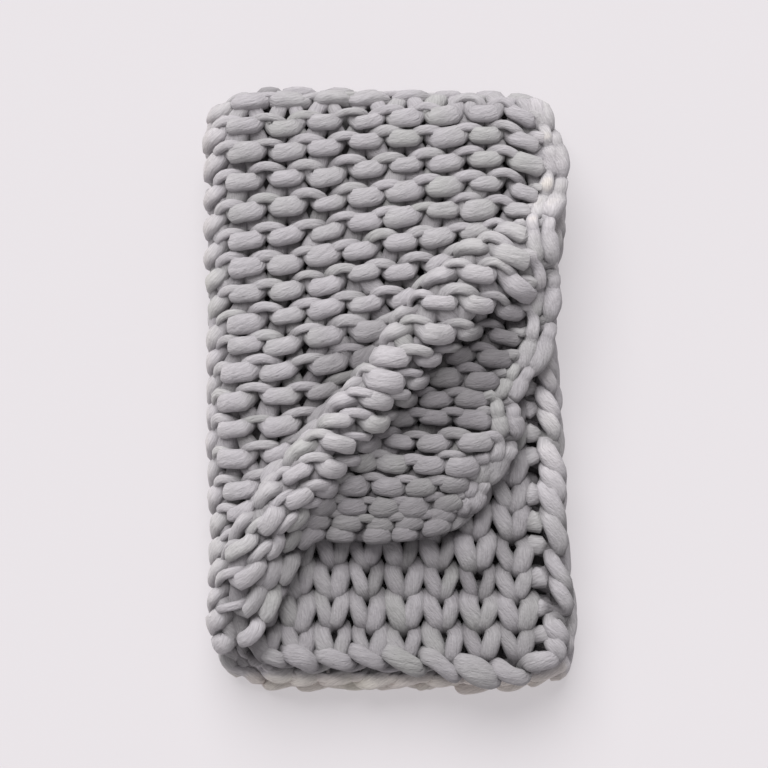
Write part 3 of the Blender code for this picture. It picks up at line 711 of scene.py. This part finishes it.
def tube(points, normals, radius, rng):
    """Rings of yarn round a path: vertices, quads, and for each vertex its place among the fibres."""
    tangent = unit(np.gradient(points, axis=0))
    up = unit(normals - tangent * np.sum(normals * tangent, axis=1, keepdims=True))
    side = np.cross(tangent, up)
    length = run_lengths(points)[:, None]
    theta = np.linspace(0.0, 2.0 * math.pi, SIDES, endpoint=False)[None, :]
    turned = theta + length * 2.0 * math.pi / TWIST_LENGTH
    blunt = (np.abs(np.cos(theta)) ** BLUNTNESS + np.abs(np.sin(theta)) ** BLUNTNESS) ** (-1.0 / BLUNTNESS)
    shape = blunt + sum(size * np.cos(lobes * turned + phase) for lobes, size, phase in STRANDS)
    for lobes, size, wave in LUMPS:
        drift = eased_noise(rng, length[:, 0] / LUMP_DRIFT)[:, None]
        phase = rng.uniform(0.0, 2.0 * math.pi)
        shape = shape + size * drift * np.cos(lobes * theta + length * wave + phase)
    r = radius[:, None] * shape
    ring = (points[:, None, :] + side[:, None, :] * (r * np.cos(theta))[..., None]
            + up[:, None, :] * (r * np.sin(theta) * FLATTEN)[..., None])
    fibre = np.stack([r * np.cos(turned), r * np.sin(turned), np.broadcast_to(length, r.shape)], axis=-1)
    i, m = np.arange(len(points) - 1)[:, None] * SIDES, np.arange(SIDES)[None, :]
    after = (m + 1) % SIDES
    quads = np.stack([i + m, i + after, i + after + SIDES, i + m + SIDES], axis=-1)
    return ring.reshape(-1, 3), quads.reshape(-1, 4), fibre.reshape(-1, 3)


def press_flat(verts):
    """Yarn on the floor gives way instead of sinking into it."""
    z = verts[:, 2]
    pressed = FLOOR_SQUASH * np.exp(np.minimum(z, FLOOR_SQUASH) / FLOOR_SQUASH - 1.0)
    verts[:, 2] = np.where(z < FLOOR_SQUASH, pressed, z)
    return verts


def added(name, data):
    """A new object of the data, in the scene."""
    obj = bpy.data.objects.new(name, data)
    bpy.context.scene.collection.objects.link(obj)
    return obj


def yarn_piece(name, tubes, material):
    """One object from tubes, with fibre coordinates and tones of painted light and shade as point
    attributes.
    """
    starts = np.cumsum([0] + [len(t[0]) for t in tubes])
    verts = press_flat(np.concatenate([t[0] for t in tubes]))
    quads = np.concatenate([t[1] + start for t, start in zip(tubes, starts)])
    mesh = bpy.data.meshes.new(name)
    mesh.vertices.add(len(verts))
    mesh.vertices.foreach_set("co", (verts * MM).ravel())
    mesh.loops.add(quads.size)
    mesh.loops.foreach_set("vertex_index", quads.ravel().astype(np.int32))
    mesh.polygons.add(len(quads))
    mesh.polygons.foreach_set("loop_start", np.arange(0, quads.size, 4, dtype=np.int32))
    mesh.polygons.foreach_set("loop_total", np.full(len(quads), 4, np.int32))
    mesh.update(calc_edges=True)
    mesh.polygons.foreach_set("use_smooth", np.ones(len(quads), bool))
    fibre = np.concatenate([t[2] for t in tubes]).astype(np.float32)
    mesh.attributes.new("fibre", "FLOAT_VECTOR", "POINT").data.foreach_set("vector", fibre.ravel())
    pale = np.concatenate([t[3] for t in tubes]).astype(np.float32)
    mesh.attributes.new("tone", "FLOAT", "POINT").data.foreach_set("value", pale)
    mesh.materials.append(material)
    piece = added(name, mesh)
    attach(piece, "root")
    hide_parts("blanket")


def tone(s, k, at, middle, height):
    """How pale the yarn is painted: 0 darkest, 1 palest. Painted shade darkens the knit face, the valley
    of the turned-up corner and the creases between strands, and painted light makes the ridge, the sides,
    most of the chained edge and the yarn low down paler. It goes by stitch s and row k, by the yarn's own
    place and the cloth's below it, and by its height over that."""
    outer = k < ROWS_UPPER
    knit = (k > ROWS_UPPER) & (s > STITCHES / 2)
    value = np.where(knit, KNIT_PAINTED_SHADE, PURL_TONE)
    valley = eased(k, VALLEY_ROWS) * eased(s, VALLEY_PLACES) * outer
    value = value + (looked_up(VALLEY_PAINTED_SHADE, 1, k) - value) * valley
    value = value + (CREST_PAINTED_LIGHT - value) * eased(middle[:, 2], CREST_HEIGHTS) * outer
    value = value + (SIDE_PAINTED_LIGHT - value) * eased(np.abs(at[:, 0]), SIDE_PLACES)
    value = value + (looked_up(CHAIN_PAINTED_LIGHT_AND_SHADE, 1, k) - value) * eased(s, CHAIN_PLACES)
    crease_heights = (CREASE_HEIGHTS, KNIT_CREASE_HEIGHTS)
    purl_high, knit_high = (eased(np.abs(height), heights) for heights in crease_heights)
    crease_free = close_to(k, FLATTEST_ROW, CREASE_FREE_ROWS)
    value = value - CREASE_PAINTED_SHADE * (1.0 - np.where(knit, knit_high, purl_high)) * (1.0 - crease_free)
    low = eased(at[:, 2], LOW_HEIGHTS) * eased(at[:, 1], LOW_PLACES)
    return value + (LOW_PAINTED_LIGHT - value) * low


def yarn_tube(path, rng):
    """The tube round a path of (s, k, depth, radius), and the tone of painted light and shade of each
    vertex.
    """
    point, normal = cloth(path[:, 0], path[:, 1])
    verts, quads, fibre = tube(point + normal * path[:, 2:3], normal, path[:, 3], rng)
    s, k = np.repeat(path[:, 0], SIDES), np.repeat(path[:, 1], SIDES)
    middle = np.repeat(point, SIDES, axis=0)
    height = np.sum((verts - middle) * np.repeat(normal, SIDES, axis=0), axis=1)
    return verts, quads, fibre, tone(s, k, verts, middle, height)


def capped(whole, first, last):
    """The rings first to last of a whole tube, as a closed piece of it."""
    verts, quads, fibre, pale = whole
    part = slice(first * SIDES, (last + 1) * SIDES)
    quads = quads[first * SIDES:last * SIDES] - first * SIDES
    m = np.arange(SIDES // 2 - 1)
    start_cap = np.stack([SIDES - 1 - m, SIDES - 2 - m, m + 1, m], axis=1)
    end_cap = start_cap[:, ::-1] + (last - first) * SIDES
    return verts[part], np.concatenate([quads, start_cap, end_cap]), fibre[part], pale[part]


def knit_bands(material):
    """The whole sheet of one yarn, cut between courses into bands, and the strands that bind its near
    edges on the first and the last of them."""
    rng = np.random.default_rng(YARN_SEED)
    path, starts = strand(range(1, ROWS), YARN_SEED)
    knitted = yarn_tube(path, rng)
    cuts = [0] + [starts[row] - TURN_SEGMENTS // 2 for row in BAND_ROWS] + [len(path) - 1]
    bands = [[capped(knitted, first, last)] for first, last in zip(cuts[:-1], cuts[1:])]
    for band, edge, outward in ((bands[0], CAST_OFF, -1.0), (bands[-1], CAST_ON, 1.0)):
        coil = bound_edge(edge, outward, rng)
        band.append(capped(yarn_tube(coil, rng), 0, len(coil) - 1))
    for number, tubes in enumerate(bands, start=1):
        yarn_piece(f"knit_band_{number}", tubes, material)


# ---- material --------------------------------------------------------------------------------------
# Colour of the yarn by its tone, from painted shade to painted light: (tone, linear colour)
PAINTED_SHADING_COLOURS = (
    (0.0, (0.135, 0.128, 0.133)),
    (0.25, (0.265, 0.256, 0.263)),
    (0.5, (0.395, 0.385, 0.393)),
    (0.7, (0.505, 0.493, 0.504)),
    (0.88, (0.625, 0.61, 0.613)),
    (1.0, (0.99, 0.925, 0.83)),
)
# What every part of the yarn's surface has
YARN_SHADER = {
    "Roughness": 0.9,
    "Sheen Weight": 0.22,
    "Sheen Roughness": 0.45,
    "Specular IOR Level": 0.15,
}
# Noises in the yarn: (waves in one mm across it, waves in one mm along it, detail)
STREAK_NOISE = (0.80, 0.11, 5.0)
STRAND_NOISE = (0.20, 0.045, 3.0)
FUZZ_NOISE = (0.55, 0.40, 5.0)
TINT_NOISE = (0.004, 0.011, 1.0)
STREAK_COLOURS = ((0.28, (0.69, 0.67, 0.687)), (0.72, (0.97, 0.947, 0.97)))
TINT_COLOURS = ((0.46, (1.0, 1.0, 1.0)), (0.66, (0.95, 0.98, 0.93)))
# Strength and distance (m) of each noise's bump
STRAND_BUMP, FUZZ_BUMP, STREAK_BUMP = (0.50, 0.003), (0.60, 0.0018), (0.40, 0.001)


def fibre_noise(tree, scale, along, detail):
    """Noise in the yarn's own coordinates: finer across it with scale, shorter along it with along."""
    fibre = tree.nodes.new("ShaderNodeAttribute")
    fibre.attribute_name = "fibre"
    stretch = tree.nodes.new("ShaderNodeVectorMath")
    stretch.operation = "MULTIPLY"
    stretch.inputs[1].default_value = (scale, scale, along)
    noise = tree.nodes.new("ShaderNodeTexNoise")
    noise.inputs["Scale"].default_value = 1.0
    noise.inputs["Detail"].default_value = detail
    tree.links.new(fibre.outputs["Vector"], stretch.inputs[0])
    tree.links.new(stretch.outputs["Vector"], noise.inputs["Vector"])
    return noise.outputs["Fac"]


def colour_ramp(tree, value, stops):
    """Colour of a value by stops of (value, colour)."""
    ramp = tree.nodes.new("ShaderNodeValToRGB")
    elements = ramp.color_ramp.elements
    while len(elements) < len(stops):
        elements.new(1.0)
    for element, (position, colour) in zip(elements, stops):
        element.position, element.color = position, (*colour, 1.0)
    tree.links.new(value, ramp.inputs["Fac"])
    return ramp.outputs["Color"]


def multiplied(tree, a, b):
    """One colour times another."""
    mix = tree.nodes.new("ShaderNodeMix")
    mix.data_type, mix.blend_type = "RGBA", "MULTIPLY"
    mix.inputs["Factor"].default_value = 1.0
    tree.links.new(a, mix.inputs["A"])
    tree.links.new(b, mix.inputs["B"])
    return mix.outputs["Result"]


def painted_shading_colour(tree):
    """Colour of the yarn by the tone of painted light and shade at its place on the sheet."""
    place = tree.nodes.new("ShaderNodeAttribute")
    place.attribute_name = "tone"
    return colour_ramp(tree, place.outputs["Fac"], PAINTED_SHADING_COLOURS)


def yarn_material():
    """Matt wool: streaks of fibre, a slow change of tint, painted light and shade by the tone of the
    place, and three bumps.
    """
    material = bpy.data.materials.new("grey_roving_yarn")
    material.use_nodes = True
    tree = material.node_tree
    shader = tree.nodes["Principled BSDF"]
    for name, value in YARN_SHADER.items():
        shader.inputs[name].default_value = value
    streak = fibre_noise(tree, *STREAK_NOISE)
    strands = fibre_noise(tree, *STRAND_NOISE)
    fuzz = fibre_noise(tree, *FUZZ_NOISE)
    tint = fibre_noise(tree, *TINT_NOISE)
    fine = colour_ramp(tree, streak, STREAK_COLOURS)
    tinted = colour_ramp(tree, tint, TINT_COLOURS)
    colour = multiplied(tree, multiplied(tree, fine, tinted), painted_shading_colour(tree))
    tree.links.new(colour, shader.inputs["Base Color"])
    normal = None
    for height, sizes in ((strands, STRAND_BUMP), (fuzz, FUZZ_BUMP), (streak, STREAK_BUMP)):
        bump = tree.nodes.new("ShaderNodeBump")
        bump.inputs["Strength"].default_value, bump.inputs["Distance"].default_value = sizes
        tree.links.new(height, bump.inputs["Height"])
        if normal is not None:
            tree.links.new(normal, bump.inputs["Normal"])
        normal = bump.outputs["Normal"]
    tree.links.new(normal, shader.inputs["Normal"])
    return material


# ---- studio ----------------------------------------------------------------------------------------
FLOOR_SIZE = 12.0
FLOOR_COLOUR = (0.34, 0.324, 0.335)
FLOOR_ROUGHNESS = 0.95
GLOW_COLOUR, FLOOR_GLOW = (1.0, 0.96, 0.985), 0.40   # the floor glows: its shadows are faint
SKY_COLOUR, SKY_STRENGTH = (0.95, 0.93, 0.95), 0.42
# The key light: the way it comes from, its strength, the angle it spans
KEY_FROM, KEY_STRENGTH, KEY_SPREAD = (-0.25, 1.0, 1.10), 3.5, math.radians(45.0)
CAMERA_TARGET = (-0.0019, 0.0062, 0.09)
CAMERA_DISTANCE = 2.6
CAMERA_ELEVATION = math.radians(87.0)
CAMERA_ANGLE = math.radians(17.46)


def aim(obj, target):
    """Turn a light or camera towards a point."""
    obj.rotation_euler = (Vector(target) - obj.location).to_track_quat("-Z", "Y").to_euler()


def floor_material():
    """Plain pale floor."""
    material = bpy.data.materials.new("pale_floor")
    material.use_nodes = True
    shader = material.node_tree.nodes["Principled BSDF"]
    shader.inputs["Base Color"].default_value = (*FLOOR_COLOUR, 1.0)
    shader.inputs["Roughness"].default_value = FLOOR_ROUGHNESS
    shader.inputs["Emission Color"].default_value = (*GLOW_COLOUR, 1.0)
    shader.inputs["Emission Strength"].default_value = FLOOR_GLOW
    return material


def lay_floor():
    """A square floor at z = 0."""
    half = FLOOR_SIZE / 2.0
    corners = [(-half, -half, 0.0), (half, -half, 0.0), (half, half, 0.0), (-half, half, 0.0)]
    mesh = bpy.data.meshes.new("floor")
    mesh.from_pydata(corners, [], [(0, 1, 2, 3)])
    mesh.materials.append(floor_material())
    added("floor", mesh)


def light_room():
    """An even sky and one broad key light."""
    world = bpy.data.worlds.new("studio")
    world.use_nodes = True
    sky = world.node_tree.nodes["Background"]
    sky.inputs["Color"].default_value = (*SKY_COLOUR, 1.0)
    sky.inputs["Strength"].default_value = SKY_STRENGTH
    bpy.context.scene.world = world
    data = bpy.data.lights.new("key", "SUN")
    data.energy, data.angle = KEY_STRENGTH, KEY_SPREAD
    light = added("key", data)
    light.location = Vector(KEY_FROM)
    aim(light, (0.0, 0.0, 0.0))


def set_camera():
    """The photograph's own view, from nearly straight above."""
    data = bpy.data.cameras.new("camera")
    data.angle = CAMERA_ANGLE
    camera = added("camera", data)
    back = Vector((0.0, -math.cos(CAMERA_ELEVATION), math.sin(CAMERA_ELEVATION)))
    camera.location = Vector(CAMERA_TARGET) + back * CAMERA_DISTANCE
    aim(camera, CAMERA_TARGET)
    bpy.context.scene.camera = camera
    bpy.context.scene.view_settings.view_transform = "Standard"


lay_floor()
light_room()
set_camera()
knit_bands(yarn_material())
